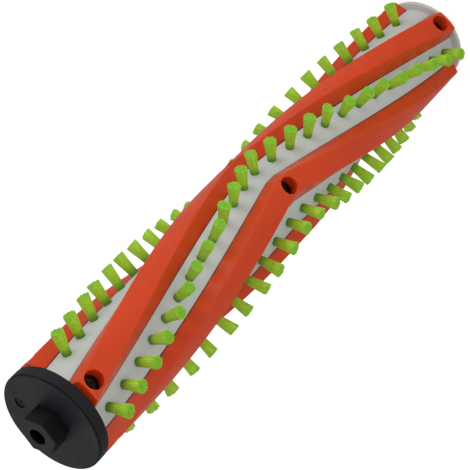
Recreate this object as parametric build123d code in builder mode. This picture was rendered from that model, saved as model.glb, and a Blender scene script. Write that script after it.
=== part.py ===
"""Roller brush of a vacuum cleaner's floor head, standing on its drive end with the bearing cap on top."""
from build123d import *
import os
from math import cos, floor, radians, sin, sqrt

os.makedirs("parts", exist_ok=True)

# General fits
seat_gap = 0.02            # radial room of a part that is fixed in its seat

# Drum: one moulding, hollow from the drive end, with a flange there
core_length = 277.9
core_radius = 16.9
core_bore_radius = 9.0
core_bore_floor = 4.0      # wall between the hollow and the axle's hole
flange_stand = 3.75        # how far the flange stands out from the drum
flange_thickness = 1.8
flange_edge_radius = 0.6
core_end_radius = 0.5

# Beater strips: chevrons screwed onto the drum
strip_count = 4
strip_stand = 5.55         # how far a strip stands out from the drum
strip_top_half = 4.95      # half width across the top
strip_foot_half = 6.9      # half width where it meets the drum
strip_edge_radius = 0.6
strip_twist = 89.2         # turn of one arm, in degrees
strip_vertex_angle = 83.9  # where the first strip's vertex points
strip_vertex_half = 3.0    # half length of the straight stretch at the vertex
strip_end_gap = 0.1        # room at the flange
strip_end_inset = 0.2      # from the drum's bearing end to the strip's end
strip_end_slope = 1.7      # that end leans back by this much
strip_sections = 7         # sections in the loft of one arm

# Screws that hold the strips, each in a boss that the drum takes in a pocket
screw_radius = 1.5
screw_length = 4.6
screw_tip_room = 0.4
screw_head_radius = 3.3
screw_head_height = 1.6
screw_hole_room = 0.1
screw_slot_width = 0.8
screw_slot_length = 3.4
screw_slot_depth = 0.9
counterbore_room = 0.7     # round the head
strip_boss_wall = 1.1      # round the counterbore
strip_boss_depth = 3.0     # below the drum's surface
strip_boss_room = 0.1      # between a boss and its pocket
strip_floor = 1.2          # boss left under the head
screw_drive_inset = 5.5    # from the strip's drive end
screw_bearing_inset = 6.7  # from the strip's bearing end

# Bristle tufts: rows with a tuft level with the vertex and rows set half a pitch off take turns
tuft_pitch = 10.8
tuft_root_radius = 1.8
tuft_tip_radius = 2.65
tuft_length = 10.4         # above the drum
tuft_hole_depth = 5.0
tuft_hole_room = 0.05
tuft_end_margin = 5.0
tuft_row_angle = -41.0     # from a strip to the row beside it
tuft_sides = 8

# Ball bearing and axle
axle_radius = 3.0
axle_grip = 24.0           # length held in the drum
axle_end = 1.6             # length above the bearing
axle_chamfer = 0.4
ring_wall = 1.5            # of either ring at the bottom of its groove
ring_lip = 0.7             # depth of the ball groove
ball_radius = 1.7
ball_count = 7
ball_gap = 0.05
pocket_gap = 0.15
cage_web = 0.35
cage_half_wall = 0.5
shield_gap = 0.3
shield_thickness = 0.4
shield_inset = 0.1
shield_running_gap = 0.15
clip_thickness = 0.7
clip_gap = 0.1
clip_groove_depth = 0.6
clip_ring_width = 2.2
clip_opening = 3.4

# Bearing cap
cap_stand = 0.05           # how far its rim stands out beyond the strips
cap_rim_length = 5.4
cap_rim_wall = 2.0
cap_face_thickness = 2.0
cap_edge_radius = 0.9
cap_back_radius = 0.3
cap_running_gap = 0.5
hub_wall = 2.0
hub_running_gap = 0.7
hub_end_gap = 1.0
seat_land = 0.6            # how far the drum's seat stays inside the inner ring's edge
relief_gap = 0.6
boss_flats = 15.2
boss_height = 8.1
boss_corner_radius = 0.8
boss_edge_radius = 0.4
boss_angle = 11.8
boss_bore_radius = 3.6
boss_floor = 1.3           # wall between the boss's bore and the axle's end room
mark_radius = 2.4          # round gate mark in the face
mark_depth = 0.6
mark_dot_radius = 0.5
mark_dot_height = 0.4
mark_circle = 14.6
mark_angle = 112.6

# Drive insert
insert_length = 20.0
insert_recess = 0.4        # its face lies this far inside the flange's face
insert_chamfer = 0.6
socket_flats = 9.0
socket_depth = 14.0
socket_lead = 0.6

# Radii of what stands out from the drum
flange_radius = core_radius + flange_stand
strip_radius = core_radius + strip_stand
cap_radius = strip_radius + cap_stand

# Heights
strip_low = flange_thickness + strip_end_gap
strip_high = core_length - strip_end_inset
vertex_z = (strip_low + strip_high) / 2
arm_length = (strip_high - strip_low) / 2 - strip_vertex_half
cap_back_z = core_length + cap_running_gap
cap_face_z = cap_back_z + cap_rim_length
cap_inside_z = cap_face_z - cap_face_thickness

# Bearing sizes that follow from the balls
ball_circle = axle_radius + ring_wall + ball_gap + ball_radius
inner_land = axle_radius + ring_wall + ring_lip
outer_land = 2 * ball_circle - inner_land
bearing_radius = ball_circle + ball_radius + ball_gap + ring_wall
cage_half = ball_radius + pocket_gap + cage_web
shield_low = cage_half + shield_gap
bearing_half = shield_low + shield_thickness + shield_inset
bearing_top_z = cap_inside_z
bearing_z = bearing_top_z - bearing_half
bearing_low_z = bearing_z - bearing_half
hub_radius = bearing_radius + hub_wall
recess_radius = hub_radius + hub_running_gap
recess_z = bearing_low_z - hub_end_gap
seat_radius = inner_land - seat_land
clip_z = bearing_top_z + clip_gap
clip_inner = axle_radius - clip_groove_depth
clip_radius = clip_inner + clip_ring_width
relief_radius = max(inner_land, clip_radius) + relief_gap
axle_top_z = bearing_top_z + axle_end
axle_low_z = recess_z - axle_grip
relief_z = axle_top_z + relief_gap
boss_bore_z = relief_z + boss_floor
bore_top_z = axle_low_z - core_bore_floor
strip_boss_low = core_radius - strip_boss_depth
head_seat = strip_boss_low + strip_floor
counterbore_radius = screw_head_radius + counterbore_room
strip_boss_radius = counterbore_radius + strip_boss_wall


def strip_turn(z):
    """Angle of a strip's middle line at height z, from where its vertex points."""
    past = max(0.0, abs(z - vertex_z) - strip_vertex_half)
    return -strip_twist * past / arm_length


def section_plane(z):
    """Level plane at height z whose x runs out through the strip's middle line."""
    a = radians(strip_turn(z))
    return Plane(origin=(0, 0, z), x_dir=(cos(a), sin(a), 0), z_dir=(0, 0, 1))


def radial_plane(radius, angle, z):
    """Plane square to the radius at that angle and height, facing outwards, with its x along the axis."""
    a = radians(angle)
    out = (cos(a), sin(a), 0)
    return Plane(origin=(radius * cos(a), radius * sin(a), z), x_dir=(0, 0, 1), z_dir=out)


screw_heights = [strip_low + screw_drive_inset, vertex_z, strip_high - screw_bearing_inset]
strip_angles = [strip_vertex_angle - 360.0 * k / strip_count for k in range(strip_count)]
half_tufts = floor(((strip_high - strip_low) / 2 - tuft_end_margin) / tuft_pitch)
level_heights = [vertex_z + tuft_pitch * i for i in range(-half_tufts, half_tufts + 1)]
between_heights = [vertex_z + tuft_pitch * (i + 0.5) for i in range(-half_tufts, half_tufts)]

# Outline of a strip's section: x is the radius, y goes across
top_x = sqrt(strip_radius**2 - strip_top_half**2)
foot_x = sqrt(core_radius**2 - strip_foot_half**2)
wall_run = 1.25            # the wall is carried on below the drum's surface before it is trimmed there
low_x = top_x + (foot_x - top_x) * wall_run
low_y = strip_top_half + (strip_foot_half - strip_top_half) * wall_run


def strip_section(z):
    """Sketch of the strip's section at height z."""
    with BuildSketch(section_plane(z)) as section:
        with BuildLine():
            ThreePointArc((top_x, -strip_top_half), (strip_radius, 0), (top_x, strip_top_half))
            Polyline((top_x, strip_top_half), (low_x, low_y), (low_x, -low_y), (top_x, -strip_top_half))
        make_face()
        corners = section.vertices().sort_by(lambda v: (v.X**2 + v.Y**2))[-2:]
        fillet(corners, strip_edge_radius)
    return section.sketch


# One strip, its vertex pointing along x: an arm, the straight stretch and the other arm
with BuildPart() as strip_blank:
    for low, high in (
        (strip_low, vertex_z - strip_vertex_half),
        (vertex_z + strip_vertex_half, strip_high),
    ):
        levels = [low + (high - low) * i / (strip_sections - 1) for i in range(strip_sections)]
        loft([strip_section(z) for z in levels])
    extrude(strip_section(vertex_z - strip_vertex_half), amount=2 * strip_vertex_half)
    # seat on the drum
    with Locations((0, 0, core_length / 2)):
        Cylinder(core_radius + seat_gap, 2 * core_length, mode=Mode.SUBTRACT)
    # leaning face at the bearing end
    with BuildSketch(Plane.XZ):
        with BuildLine():
            Polyline(
                (core_radius, strip_high),
                (strip_radius + strip_stand, strip_high - 2 * strip_end_slope),
                (strip_radius + strip_stand, strip_high + strip_stand),
                (core_radius, strip_high + strip_stand),
                close=True,
            )
        make_face()
    revolve(axis=Axis.Z, mode=Mode.SUBTRACT)
    # counterbored bosses for the screws
    with Locations(*[Location(radial_plane(strip_boss_low, strip_turn(z), z)) for z in screw_heights]):
        Cylinder(
            strip_boss_radius,
            strip_boss_depth + strip_stand / 3,
            align=(Align.CENTER, Align.CENTER, Align.MIN),
        )
    with Locations(*[Location(radial_plane(head_seat, strip_turn(z), z)) for z in screw_heights]):
        Cylinder(
            counterbore_radius,
            2 * (strip_radius - head_seat),
            align=(Align.CENTER, Align.CENTER, Align.MIN),
            mode=Mode.SUBTRACT,
        )
        Cylinder(
            screw_radius + screw_hole_room,
            2 * strip_floor,
            align=(Align.CENTER, Align.CENTER, Align.MAX),
            mode=Mode.SUBTRACT,
        )

for number, angle in enumerate(strip_angles, 1):
    with BuildPart() as strip:
        add(strip_blank.part, rotation=(0, 0, angle))
    strip.part.label = f"beater_strip_{number}"
    export_step(strip.part, f"parts/beater_strip_{number}.step")

# One screw, its head's seat at the origin and its axis along z
with BuildPart() as screw:
    Cylinder(screw_head_radius, screw_head_height, align=(Align.CENTER, Align.CENTER, Align.MIN))
    fillet(screw.edges().group_by(Axis.Z)[-1], screw_head_height / 3)
    Cylinder(screw_radius, screw_length, align=(Align.CENTER, Align.CENTER, Align.MAX))
    chamfer(screw.edges().group_by(Axis.Z)[0], screw_radius / 2)
    with Locations((0, 0, screw_head_height)):
        for turn in (0, 90):
            Box(
                screw_slot_length,
                screw_slot_width,
                2 * screw_slot_depth,
                rotation=(0, 0, turn),
                mode=Mode.SUBTRACT,
            )

screw_places = [
    Location(radial_plane(head_seat, angle + strip_turn(z), z)) for angle in strip_angles for z in screw_heights
]
with BuildPart() as strip_screws:
    with Locations(*screw_places):
        add(screw.part)
strip_screws.part.label = "strip_screws"
export_step(strip_screws.part, "parts/strip_screws.step")

# One tuft: a straight root in its hole, then a bundle that spreads to its cut tip
with BuildPart() as tuft:
    for height, radius in (
        (-tuft_hole_depth, tuft_root_radius),
        (0.0, tuft_root_radius),
        (tuft_length, tuft_tip_radius),
    ):
        with BuildSketch(Plane.XY.offset(height)):
            RegularPolygon(radius, tuft_sides)
    loft(ruled=True)

tuft_places = []
for number, angle in enumerate(strip_angles, 1):
    heights = level_heights if number % 2 else between_heights
    places = [Location(radial_plane(core_radius, angle + tuft_row_angle + strip_turn(z), z)) for z in heights]
    tuft_places += places
    with BuildPart() as row:
        with Locations(*places):
            add(tuft.part)
    row.part.label = f"tuft_row_{number}"
    export_step(row.part, f"parts/tuft_row_{number}.step")

# Drum
with BuildPart() as core:
    with BuildSketch(Plane.XZ) as profile:
        with BuildLine():
            Polyline(
                (core_bore_radius, 0),
                (flange_radius, 0),
                (flange_radius, flange_thickness),
                (core_radius, flange_thickness),
                (core_radius, core_length),
                (recess_radius, core_length),
                (recess_radius, recess_z),
                (seat_radius, recess_z),
                (seat_radius, bearing_low_z),
                (axle_radius + seat_gap, bearing_low_z),
                (axle_radius + seat_gap, axle_low_z),
                (0, axle_low_z),
                (0, bore_top_z),
                (core_bore_radius, bore_top_z),
                close=True,
            )
        make_face()
    revolve(axis=Axis.Z)
    rim = core.edges().filter_by(GeomType.CIRCLE).filter_by(lambda e: abs(e.radius - flange_radius) < seat_gap)
    fillet(rim, min(flange_edge_radius, flange_thickness / 3))
    end = core.edges().filter_by(GeomType.CIRCLE).filter_by(lambda e: abs(e.radius - core_radius) < seat_gap)
    chamfer(end.sort_by(Axis.Z)[-1], core_end_radius)
    with Locations(*tuft_places):
        Cylinder(
            tuft_root_radius + tuft_hole_room,
            2 * tuft_hole_depth,
            mode=Mode.SUBTRACT,
        )
    with Locations(*screw_places):
        Cylinder(
            screw_radius + seat_gap,
            screw_length + screw_tip_room,
            align=(Align.CENTER, Align.CENTER, Align.MAX),
            mode=Mode.SUBTRACT,
        )
        with Locations((0, 0, -strip_floor - strip_boss_room)):
            Cylinder(
                strip_boss_radius + strip_boss_room,
                2 * strip_boss_depth,
                align=(Align.CENTER, Align.CENTER, Align.MIN),
                mode=Mode.SUBTRACT,
            )
core.part.label = "roller_core"
export_step(core.part, "parts/roller_core.step")

# Drive insert with a six-sided socket
with BuildPart() as insert:
    with BuildSketch(Plane.XY.offset(insert_recess)):
        Circle(core_bore_radius - seat_gap)
    extrude(amount=insert_length)
    chamfer(insert.edges().group_by(Axis.Z)[-1], insert_chamfer)
    with BuildSketch(Plane.XY.offset(insert_recess)):
        RegularPolygon(socket_flats / 2, 6, major_radius=False)
    extrude(amount=socket_depth, mode=Mode.SUBTRACT)
    with BuildSketch(Plane.XY.offset(insert_recess)):
        RegularPolygon(socket_flats / 2 + socket_lead, 6, major_radius=False)
    with BuildSketch(Plane.XY.offset(insert_recess + socket_lead)):
        RegularPolygon(socket_flats / 2, 6, major_radius=False)
    loft(ruled=True, mode=Mode.SUBTRACT)
insert.part.label = "drive_insert"
export_step(insert.part, "parts/drive_insert.step")

# Axle, with the groove of its retaining ring
with BuildPart() as axle:
    with Locations((0, 0, axle_low_z)):
        Cylinder(
            axle_radius,
            axle_top_z - axle_low_z,
            align=(Align.CENTER, Align.CENTER, Align.MIN),
        )
    chamfer(axle.edges().group_by(Axis.Z)[0], axle_chamfer)
    chamfer(axle.edges().group_by(Axis.Z)[-1], axle_chamfer)
    with BuildSketch(Plane.XY.offset(clip_z - clip_gap / 2)):
        Circle(2 * axle_radius)
        Circle(clip_inner - seat_gap, mode=Mode.SUBTRACT)
    extrude(amount=clip_thickness + clip_gap, mode=Mode.SUBTRACT)
axle.part.label = "axle"
export_step(axle.part, "parts/axle.step")

# Retaining ring, open on one side
with BuildPart() as clip:
    with BuildSketch(Plane.XY.offset(clip_z)):
        Circle(clip_radius)
        Circle(clip_inner, mode=Mode.SUBTRACT)
        with Locations((clip_radius, 0)):
            Rectangle(2 * clip_radius, clip_opening, mode=Mode.SUBTRACT)
    extrude(amount=clip_thickness)
clip.part.label = "retaining_ring"
export_step(clip.part, "parts/retaining_ring.step")

# Ball bearing: inner ring on the axle, outer ring in the cap
with BuildPart() as inner_ring:
    with Locations((0, 0, bearing_z)):
        Cylinder(inner_land, 2 * bearing_half)
        Cylinder(axle_radius + seat_gap, 2 * bearing_half, mode=Mode.SUBTRACT)
        Torus(ball_circle, ball_radius + ball_gap, mode=Mode.SUBTRACT)
inner_ring.part.label = "bearing_inner_ring"
export_step(inner_ring.part, "parts/bearing_inner_ring.step")

with BuildPart() as outer_ring:
    with Locations((0, 0, bearing_z)):
        Cylinder(bearing_radius, 2 * bearing_half)
        Cylinder(outer_land, 2 * bearing_half, mode=Mode.SUBTRACT)
        Torus(ball_circle, ball_radius + ball_gap, mode=Mode.SUBTRACT)
outer_ring.part.label = "bearing_outer_ring"
export_step(outer_ring.part, "parts/bearing_outer_ring.step")

with BuildPart() as balls:
    with Locations((0, 0, bearing_z)):
        with PolarLocations(ball_circle, ball_count):
            Sphere(ball_radius)
balls.part.label = "bearing_balls"
export_step(balls.part, "parts/bearing_balls.step")

with BuildPart() as cage:
    with Locations((0, 0, bearing_z)):
        Cylinder(ball_circle + cage_half_wall, 2 * cage_half)
        Cylinder(ball_circle - cage_half_wall, 2 * cage_half, mode=Mode.SUBTRACT)
        with PolarLocations(ball_circle, ball_count):
            Cylinder(
                ball_radius + pocket_gap,
                4 * cage_half_wall,
                rotation=(0, 90, 0),
                mode=Mode.SUBTRACT,
            )
cage.part.label = "bearing_cage"
export_step(cage.part, "parts/bearing_cage.step")

for name, side in (("bearing_shield_drum_side", -1), ("bearing_shield_cap_side", 1)):
    with BuildPart() as shield:
        with Locations((0, 0, bearing_z + side * (shield_low + shield_thickness / 2))):
            Cylinder(outer_land - seat_gap, shield_thickness)
            Cylinder(inner_land + shield_running_gap, shield_thickness, mode=Mode.SUBTRACT)
    shield.part.label = name
    export_step(shield.part, f"parts/{name}.step")

# Bearing cap: a cup with the bearing's hub inside and the keyed boss on its face
with BuildPart() as cap:
    with BuildSketch(Plane.XZ) as cap_profile:
        with BuildLine():
            Polyline(
                (0, cap_inside_z),
                (bearing_radius + seat_gap, cap_inside_z),
                (bearing_radius + seat_gap, bearing_low_z),
                (hub_radius, bearing_low_z),
                (hub_radius, cap_inside_z),
                (cap_radius - cap_rim_wall, cap_inside_z),
                (cap_radius - cap_rim_wall, cap_back_z),
                (cap_radius, cap_back_z),
                (cap_radius, cap_face_z),
                (0, cap_face_z),
                close=True,
            )
        make_face()
    revolve(axis=Axis.Z)
    rim = cap.edges().filter_by(GeomType.CIRCLE).filter_by(lambda e: abs(e.radius - cap_radius) < seat_gap)
    fillet(rim.sort_by(Axis.Z)[-1], cap_edge_radius)
    fillet(rim.sort_by(Axis.Z)[0], cap_back_radius)
    with BuildSketch(Plane.XY.offset(cap_face_z)) as boss:
        RegularPolygon(boss_flats / 2, 6, major_radius=False, rotation=boss_angle)
        fillet(boss.vertices(), boss_corner_radius)
    extrude(amount=boss_height)
    fillet(cap.faces().sort_by(Axis.Z)[-1].edges(), boss_edge_radius)
    # room for the axle's end and its retaining ring
    with BuildSketch(Plane.XY.offset(cap_inside_z)):
        Circle(relief_radius)
    extrude(amount=relief_z - cap_inside_z, mode=Mode.SUBTRACT)
    # bore of the boss
    with BuildSketch(Plane.XY.offset(boss_bore_z)):
        Circle(boss_bore_radius)
    extrude(amount=cap_face_z + boss_height - boss_bore_z, mode=Mode.SUBTRACT)
    # round gate mark with its dot
    mark_place = (mark_circle * cos(radians(mark_angle)), mark_circle * sin(radians(mark_angle)))
    with BuildSketch(Plane.XY.offset(cap_face_z - mark_depth)):
        with Locations(mark_place):
            Circle(mark_radius)
    extrude(amount=mark_depth, mode=Mode.SUBTRACT)
    with BuildSketch(Plane.XY.offset(cap_face_z - mark_depth)):
        with Locations(mark_place):
            Circle(mark_dot_radius)
    extrude(amount=mark_dot_height)
cap.part.label = "bearing_cap"
export_step(cap.part, "parts/bearing_cap.step")
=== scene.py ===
"""Looks of a vacuum roller brush: moulded plastics, steel, and bristle tufts made of filaments."""
import math
import random

import bmesh
import bpy
from mathutils import Matrix, Vector


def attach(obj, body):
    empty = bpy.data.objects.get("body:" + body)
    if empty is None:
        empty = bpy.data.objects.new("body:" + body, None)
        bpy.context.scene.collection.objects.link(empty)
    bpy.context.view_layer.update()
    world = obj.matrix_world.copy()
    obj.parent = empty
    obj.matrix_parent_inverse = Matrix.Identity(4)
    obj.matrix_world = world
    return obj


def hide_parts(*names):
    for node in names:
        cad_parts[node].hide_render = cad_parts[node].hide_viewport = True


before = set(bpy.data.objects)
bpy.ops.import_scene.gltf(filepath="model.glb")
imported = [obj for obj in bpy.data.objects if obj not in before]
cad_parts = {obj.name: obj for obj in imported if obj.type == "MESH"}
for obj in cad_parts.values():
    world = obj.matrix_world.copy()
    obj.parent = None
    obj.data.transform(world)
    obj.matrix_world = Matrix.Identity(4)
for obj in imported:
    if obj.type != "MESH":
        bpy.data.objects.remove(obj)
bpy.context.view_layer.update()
MM = 0.001

# Sizes and counts of the part: lengths in millimetres, angles in degrees
CORE_RADIUS = 16.9
STRIP_LOW, STRIP_HIGH = 1.9, 277.7
VERTEX_Z = (STRIP_LOW + STRIP_HIGH) / 2
VERTEX_HALF = 3.0
ARM_LENGTH = (STRIP_HIGH - STRIP_LOW) / 2 - VERTEX_HALF
STRIP_TWIST = 89.2
STRIP_COUNT = 4
VERTEX_ANGLE = 83.9
ROW_ANGLE = -41.0
TUFT_PITCH = 10.8
HALF_TUFTS = 12
TUFT_LENGTH = 10.4

# Where the painted shade changes, in millimetres: the dark line painted up from the base of a strip at
# the drum, and the darkest shade painted on the cap's side faces, fading out past its boss
FOOT_LOW, FOOT_HIGH = 0.2, 0.55
BOSS_REACH = 10.0
BOSS_FADE = 2.0

# Tufts: counts, then lengths in millimetres, then shares
FILAMENTS = 150
FILAMENT_SIDES = 5
BUNDLE_SIDES = 16
FILAMENT_RADIUS = 0.18
TUFT_ROOT_RADIUS = 1.75
TUFT_TIP_RADIUS = 2.85
LEAN_SIDE, LEAN_UP = 0.5, 0.6
SPREAD_LEAST, SPREAD_MOST = 0.92, 1.04
SHORTEST = 0.98
CUT_TILT = 0.03
CUT_RAGGED = 0.03
FILAMENT_REACH = 0.95
FILAMENT_SUNK = 0.06
FILAMENT_STRAY = 0.035
BEND_HEIGHT = 0.5
BEND_STRAY = 0.3
BUNDLE_SUNK = 0.1
BUNDLE_HEIGHT = 0.92
BUNDLE_ROOT_SHARE = 0.95
BUNDLE_TIP_SHARE = 0.84

# Turn from one filament to the next, in radians, and the first row's random seed
GOLDEN = math.pi * (3 - math.sqrt(5))
SEED = 100

# Depth of the grain and half width of the floor, in metres
GRAIN_DEPTH = 0.0001
FLOOR_HALF = 6.0


class Nodes:
    """A material's node tree with short ways to add to it."""

    def __init__(self, name):
        self.mat = bpy.data.materials.new(name)
        self.mat.use_nodes = True
        self.tree = self.mat.node_tree
        self.shader = self.tree.nodes["Principled BSDF"]

    def add(self, kind, **values):
        node = self.tree.nodes.new(kind)
        for key, value in values.items():
            setattr(node, key, value)
        return node

    def link(self, out, into):
        self.tree.links.new(out, into)

    def set(self, **values):
        for key, value in values.items():
            self.shader.inputs[key.replace("_", " ")].default_value = value

    def coordinates(self):
        return self.add("ShaderNodeTexCoord").outputs["Object"]

    def noise(self, scale, detail=3.0, roughness=0.5):
        node = self.add("ShaderNodeTexNoise")
        node.inputs["Scale"].default_value = scale
        node.inputs["Detail"].default_value = detail
        node.inputs["Roughness"].default_value = roughness
        self.link(self.coordinates(), node.inputs["Vector"])
        return node.outputs["Fac"]

    def ramp(self, value, stops):
        node = self.add("ShaderNodeValToRGB")
        ramp = node.color_ramp
        while len(ramp.elements) < len(stops):
            ramp.elements.new(0.5)
        for element, (place, colour) in zip(ramp.elements, stops):
            element.position = place
            element.color = (*colour, 1)
        self.link(value, node.inputs["Fac"])
        return node.outputs["Color"]

    def span(self, value, low, high, to_low=0.0, to_high=1.0):
        node = self.add("ShaderNodeMapRange")
        node.inputs["From Min"].default_value = low
        node.inputs["From Max"].default_value = high
        node.inputs["To Min"].default_value = to_low
        node.inputs["To Max"].default_value = to_high
        self.link(value, node.inputs["Value"])
        return node.outputs["Result"]

    def mix(self, factor, a, b, blend="MIX"):
        node = self.add("ShaderNodeMix", data_type="RGBA", blend_type=blend)
        for slot, value in ((6, a), (7, b)):
            if isinstance(value, tuple):
                node.inputs[slot].default_value = (*value, 1)
            else:
                self.link(value, node.inputs[slot])
        if isinstance(factor, float):
            node.inputs[0].default_value = factor
        else:
            self.link(factor, node.inputs[0])
        return node.outputs[2]

    def radius(self):
        """Distance from the roller's axis, in metres."""
        flat = self.add("ShaderNodeVectorMath", operation="MULTIPLY")
        flat.inputs[1].default_value = (1, 1, 0)
        self.link(self.coordinates(), flat.inputs[0])
        length = self.add("ShaderNodeVectorMath", operation="LENGTH")
        self.link(flat.outputs["Vector"], length.inputs[0])
        return length.outputs["Value"]

    def upward(self, low, high):
        """From 0 to 1 as the part of a face's normal along the roller's axis goes from low to high."""
        parts = self.add("ShaderNodeSeparateXYZ")
        self.link(self.add("ShaderNodeNewGeometry").outputs["Normal"], parts.inputs["Vector"])
        return self.span(parts.outputs["Z"], low, high)

    def bump(self, height, strength, distance):
        node = self.add("ShaderNodeBump")
        node.inputs["Strength"].default_value = strength
        node.inputs["Distance"].default_value = distance
        self.link(height, node.inputs["Height"])
        self.link(node.outputs["Normal"], self.shader.inputs["Normal"])


def moulded(name, colour, roughness, vary=0.06, grain=0.05, grain_scale=4000.0, cloud_scale=45.0):
    """Moulded plastic: faint clouds in its colour, uneven gloss and a fine moulded grain."""
    n = Nodes(name)
    clouds = n.noise(cloud_scale, detail=4.0, roughness=0.55)
    dark = tuple(c * (1 - vary) for c in colour)
    pale = tuple(min(1.0, c * (1 + vary)) for c in colour)
    n.colour = n.ramp(clouds, [(0.3, dark), (0.7, pale)])
    n.link(n.colour, n.shader.inputs["Base Color"])
    gloss = n.span(n.noise(scale=160.0, detail=3.0), 0.3, 0.7, roughness - 0.05, roughness + 0.05)
    n.link(gloss, n.shader.inputs["Roughness"])
    n.bump(n.noise(grain_scale, detail=2.0), strength=grain, distance=GRAIN_DEPTH)
    return n


strip = moulded("strip_orange", (0.65, 0.053, 0.005), 0.32, vary=0.05, grain=0.01)
# Painted shade: a thin dark line along the bottom of each strip, where it meets the drum, standing in
# for the shadow in that gap
foot_painted_shade = strip.span(strip.radius(), (CORE_RADIUS + FOOT_LOW) * MM, (CORE_RADIUS + FOOT_HIGH) * MM)
strip.link(strip.mix(foot_painted_shade, (0.10, 0.012, 0.006), strip.colour), strip.shader.inputs["Base Color"])
strip.set(
    Specular_IOR_Level=0.34,
    Subsurface_Weight=0.4,
    Subsurface_Radius=(1.0, 0.3, 0.05),
    Subsurface_Scale=0.003,
)

drum = moulded("drum_pale", (0.575, 0.585, 0.572), 0.42, vary=0.03, grain=0.04)
drum.set(Specular_IOR_Level=0.45)

cap = moulded("cap_charcoal", (0.013, 0.013, 0.018), 0.52, vary=0.10, grain=0.10, grain_scale=6000.0)
# Painted light and shade on the cap: faces along the axis keep the cap's colour, side faces such as
# the rim are painted darker, darkest on the boss's sides, and the rounded edge between face and rim is
# painted near black as a dark line
past_boss = cap.span(cap.radius(), BOSS_REACH * MM, (BOSS_REACH + BOSS_FADE) * MM)
sides = cap.mix(past_boss, (0.002, 0.002, 0.004), (0.011, 0.011, 0.015))
painted_edge_shade = cap.mix(cap.upward(0.1, 0.3), sides, (0.001, 0.001, 0.002))
cap.link(cap.mix(cap.upward(0.93, 0.99), painted_edge_shade, cap.colour), cap.shader.inputs["Base Color"])
cap.set(Specular_IOR_Level=0.19)

insert = moulded("insert_black", (0.02, 0.02, 0.022), 0.5, vary=0.1, grain=0.08)
cage = moulded("cage_nylon", (0.55, 0.50, 0.38), 0.5)


def metal(name, colour, roughness):
    """Ground or blackened steel with fine marks."""
    n = Nodes(name)
    clouds = n.noise(scale=220.0, detail=5.0, roughness=0.6)
    dark = tuple(c * 0.85 for c in colour)
    n.link(n.ramp(clouds, [(0.3, dark), (0.7, colour)]), n.shader.inputs["Base Color"])
    n.link(n.span(clouds, 0.3, 0.7, roughness - 0.06, roughness + 0.08), n.shader.inputs["Roughness"])
    n.set(Metallic=1.0)
    n.bump(n.noise(scale=2500.0, detail=2.0), strength=0.08, distance=GRAIN_DEPTH)
    return n


screw_steel = metal("screw_black_steel", (0.05, 0.05, 0.055), 0.42)
ring_steel = metal("bearing_steel", (0.55, 0.55, 0.57), 0.25)
ball_steel = metal("ball_steel", (0.72, 0.72, 0.74), 0.12)

bristle = Nodes("bristle_green")
# Painted shade and light on each tuft: darker green towards the drum, where the roots stand in shade,
# and brighter towards the tips, where light shows through the filaments
height = bristle.span(bristle.radius(), CORE_RADIUS * MM, (CORE_RADIUS + TUFT_LENGTH) * MM)
along = bristle.ramp(
    height,
    [
        (0.0, (0.100, 0.290, 0.020)),
        (0.16, (0.220, 0.480, 0.028)),
        (0.36, (0.480, 0.745, 0.044)),
        (0.85, (0.540, 0.850, 0.070)),
        (1.0, (0.410, 0.810, 0.074)),
    ],
)
fine = bristle.noise(scale=900.0, detail=2.0)
strands = bristle.ramp(fine, [(0.3, (0.55, 0.6, 0.5)), (0.7, (1.0, 1.0, 1.0))])
bristle.link(bristle.mix(0.4, along, strands, "MULTIPLY"), bristle.shader.inputs["Base Color"])
bristle.set(Roughness=0.5, Specular_IOR_Level=0.25)

# Materials of the CAD nodes

for node, look in {
    "roller_core": drum,
    "drive_insert": insert,
    "strip_screws": screw_steel,
    "axle": ring_steel,
    "retaining_ring": ring_steel,
    "bearing_inner_ring": ring_steel,
    "bearing_outer_ring": ring_steel,
    "bearing_shield_drum_side": ring_steel,
    "bearing_shield_cap_side": ring_steel,
    "bearing_balls": ball_steel,
    "bearing_cage": cage,
    "bearing_cap": cap,
    **{f"beater_strip_{k}": strip for k in range(1, STRIP_COUNT + 1)},
}.items():
    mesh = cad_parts[node].data
    mesh.materials.clear()
    mesh.materials.append(look.mat)


def strip_turn(z):
    """Angle of a strip's middle line at height z, from where its vertex points, in degrees."""
    past = max(0.0, abs(z - VERTEX_Z) - VERTEX_HALF)
    return -STRIP_TWIST * past / ARM_LENGTH


def prism(mesh, rings, sides, radii, spin):
    """Adds a closed prism with flat sides through the middles in rings, each with its radius."""
    direction = (rings[-1] - rings[0]).normalized()
    aside = Vector((0, 0, 1)) if abs(direction.z) < 0.9 else Vector((1, 0, 0))
    across = direction.cross(aside).normalized()
    other = direction.cross(across)
    loops = []
    for middle, radius in zip(rings, radii):
        loop = []
        for i in range(sides):
            a = spin + 2 * math.pi * i / sides
            outward = across * math.cos(a) + other * math.sin(a)
            loop.append(mesh.verts.new((middle + outward * radius) * MM))
        loops.append(loop)
    for low, high in zip(loops, loops[1:]):
        for i in range(sides):
            mesh.faces.new((low[i], low[(i + 1) % sides], high[(i + 1) % sides], high[i]))
    mesh.faces.new(list(reversed(loops[0])))
    mesh.faces.new(loops[-1])


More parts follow.
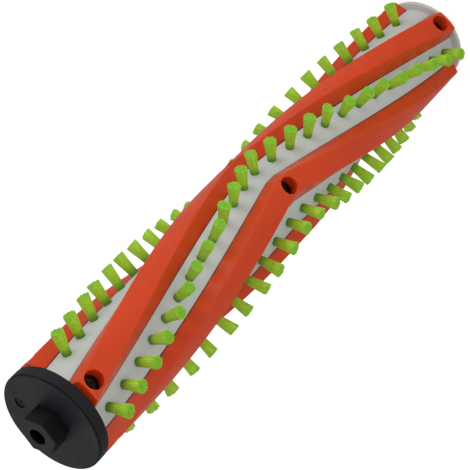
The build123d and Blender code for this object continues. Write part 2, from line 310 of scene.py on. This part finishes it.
def tuft(mesh, rng, angle, z):
    """One tuft at that angle and height: filaments round a dense bundle, spreading to a ragged cut."""
    a = math.radians(angle)
    out = Vector((math.cos(a), math.sin(a), 0))
    side = Vector((-math.sin(a), math.cos(a), 0))
    up = Vector((0, 0, 1))
    base = out * CORE_RADIUS + up * z
    lean = side * rng.gauss(0, LEAN_SIDE) + up * rng.gauss(0, LEAN_UP)
    spread = rng.uniform(SPREAD_LEAST, SPREAD_MOST)
    length = TUFT_LENGTH * rng.uniform(SHORTEST, 1.0)
    tilt_side, tilt_up = rng.gauss(0, CUT_TILT), rng.gauss(0, CUT_TILT)

    def place(u, v, h):
        """Point of the bundle: u and v across it from -1 to 1, h 0 at the drum and 1 at the cut."""
        width = TUFT_ROOT_RADIUS + (TUFT_TIP_RADIUS * spread - TUFT_ROOT_RADIUS) * h
        drop = h * (u * tilt_side + v * tilt_up) * TUFT_TIP_RADIUS
        return base + out * (h * length + drop) + lean * h + (side * u + up * v) * width

    bundle = [place(0, 0, h) for h in (-BUNDLE_SUNK, 0.0, BUNDLE_HEIGHT)]
    root = TUFT_ROOT_RADIUS * BUNDLE_ROOT_SHARE
    tip = TUFT_TIP_RADIUS * BUNDLE_TIP_SHARE * spread
    prism(mesh, bundle, BUNDLE_SIDES, [root, root, tip], 0.0)
    for j in range(FILAMENTS):
        reach = math.sqrt((j + 0.5) / FILAMENTS) * FILAMENT_REACH
        turn = j * GOLDEN
        u, v = reach * math.cos(turn), reach * math.sin(turn)
        du, dv = rng.gauss(0, FILAMENT_STRAY), rng.gauss(0, FILAMENT_STRAY)
        end = 1.0 - abs(rng.gauss(0, CUT_RAGGED))
        rings = [
            place(u, v, -FILAMENT_SUNK),
            place(u + du * BEND_STRAY, v + dv * BEND_STRAY, BEND_HEIGHT),
            place(u + du, v + dv, end),
        ]
        prism(mesh, rings, FILAMENT_SIDES, [FILAMENT_RADIUS] * 3, rng.uniform(0, math.pi))


# Bristle rows: every other row sits half a pitch off, with one tuft fewer

for k in range(STRIP_COUNT):
    rng = random.Random(SEED + k)
    built = bmesh.new()
    shift = 0.5 * (k % 2)
    for i in range(-HALF_TUFTS, HALF_TUFTS + 1 - k % 2):
        z = VERTEX_Z + TUFT_PITCH * (i + shift)
        tuft(built, rng, VERTEX_ANGLE - 360.0 * k / STRIP_COUNT + ROW_ANGLE + strip_turn(z), z)
    name = f"bristles_row_{k + 1}"
    data = bpy.data.meshes.new(name)
    built.to_mesh(data)
    built.free()
    data.materials.append(bristle.mat)
    row = bpy.data.objects.new(name, data)
    bpy.context.scene.collection.objects.link(row)
    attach(row, "roller")
    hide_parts(f"tuft_row_{k + 1}")


# Floor, sky and lamps

floor_mesh = bpy.data.meshes.new("floor")
corners = [(x * FLOOR_HALF, y * FLOOR_HALF, 0) for x, y in ((-1, -1), (1, -1), (1, 1), (-1, 1))]
floor_mesh.from_pydata(corners, [], [(0, 1, 2, 3)])
floor = bpy.data.objects.new("floor", floor_mesh)
bpy.context.scene.collection.objects.link(floor)
paper = Nodes("floor_paper")
paper.set(Roughness=0.9, Specular_IOR_Level=0.1)
shown = paper.add("ShaderNodeLightPath")
plain, reflected = (0.8, 0.8, 0.8), (0.5, 0.5, 0.5)
tone = paper.mix(shown.outputs["Is Glossy Ray"], plain, reflected)
paper.link(tone, paper.shader.inputs["Base Color"])
glow = paper.add("ShaderNodeMath", operation="MULTIPLY")
glow.inputs[1].default_value = 0.6
paper.link(shown.outputs["Is Camera Ray"], glow.inputs[0])
paper.set(Emission_Color=(1, 1, 1, 1))
paper.link(glow.outputs[0], paper.shader.inputs["Emission Strength"])
floor_mesh.materials.append(paper.mat)

world = bpy.data.worlds.new("studio")
world.use_nodes = True
bpy.context.scene.world = world
sky = world.node_tree.nodes["Background"]
sky.inputs["Color"].default_value = (1, 1, 1, 1)
ray = world.node_tree.nodes.new("ShaderNodeSeparateXYZ")
world.node_tree.links.new(
    world.node_tree.nodes.new("ShaderNodeTexCoord").outputs["Generated"], ray.inputs["Vector"]
)
# The sky brightens upwards and behind the part
both = world.node_tree.nodes.new("ShaderNodeMath")
for socket, axis, low, high, to_low, to_high in (
    (0, "Z", 0.0, 0.9, 0.30, 0.62),
    (1, "X", -0.8, 0.1, 0.25, 0.0),
):
    graded = world.node_tree.nodes.new("ShaderNodeMapRange")
    graded.inputs["From Min"].default_value = low
    graded.inputs["From Max"].default_value = high
    graded.inputs["To Min"].default_value = to_low
    graded.inputs["To Max"].default_value = to_high
    world.node_tree.links.new(ray.outputs[axis], graded.inputs["Value"])
    world.node_tree.links.new(graded.outputs["Result"], both.inputs[socket])
world.node_tree.links.new(both.outputs["Value"], sky.inputs["Strength"])


def softbox(name, place, target, size, watts):
    """Square soft lamp at a place in metres, facing a target."""
    lamp = bpy.data.lights.new(name, "AREA")
    lamp.shape = "SQUARE"
    lamp.size = size
    lamp.energy = watts
    holder = bpy.data.objects.new(name, lamp)
    holder.location = place
    holder.rotation_euler = (Vector(target) - Vector(place)).to_track_quat("-Z", "Y").to_euler()
    bpy.context.scene.collection.objects.link(holder)


middle = (0, 0, 0.06)
softbox("key", place=(0.40, 0.80, 0.22), target=middle, size=0.6, watts=3.5)
softbox("fill", place=(0.9, -0.45, 0.40), target=middle, size=0.8, watts=2.7)

# Camera, as fitted to the photograph, with its place in metres

camera_data = bpy.data.cameras.new("camera")
camera_data.sensor_width = 36.0
camera_data.sensor_fit = "HORIZONTAL"
camera_data.lens = 132.877
camera_data.clip_start = 0.05
camera = bpy.data.objects.new("camera", camera_data)
right = Vector((0.426903, -0.718454, -0.54916))
above = Vector((0.440946, 0.695574, -0.567224))
back = Vector((0.789506, 0.0, 0.613742))
turn = Matrix((right, above, back)).transposed().to_4x4()
place = Vector((0.56510, -0.00051, 0.60009))
camera.matrix_world = Matrix.Translation(place) @ turn
bpy.context.scene.collection.objects.link(camera)
bpy.context.scene.camera = camera
bpy.context.scene.view_settings.view_transform = "Standard"
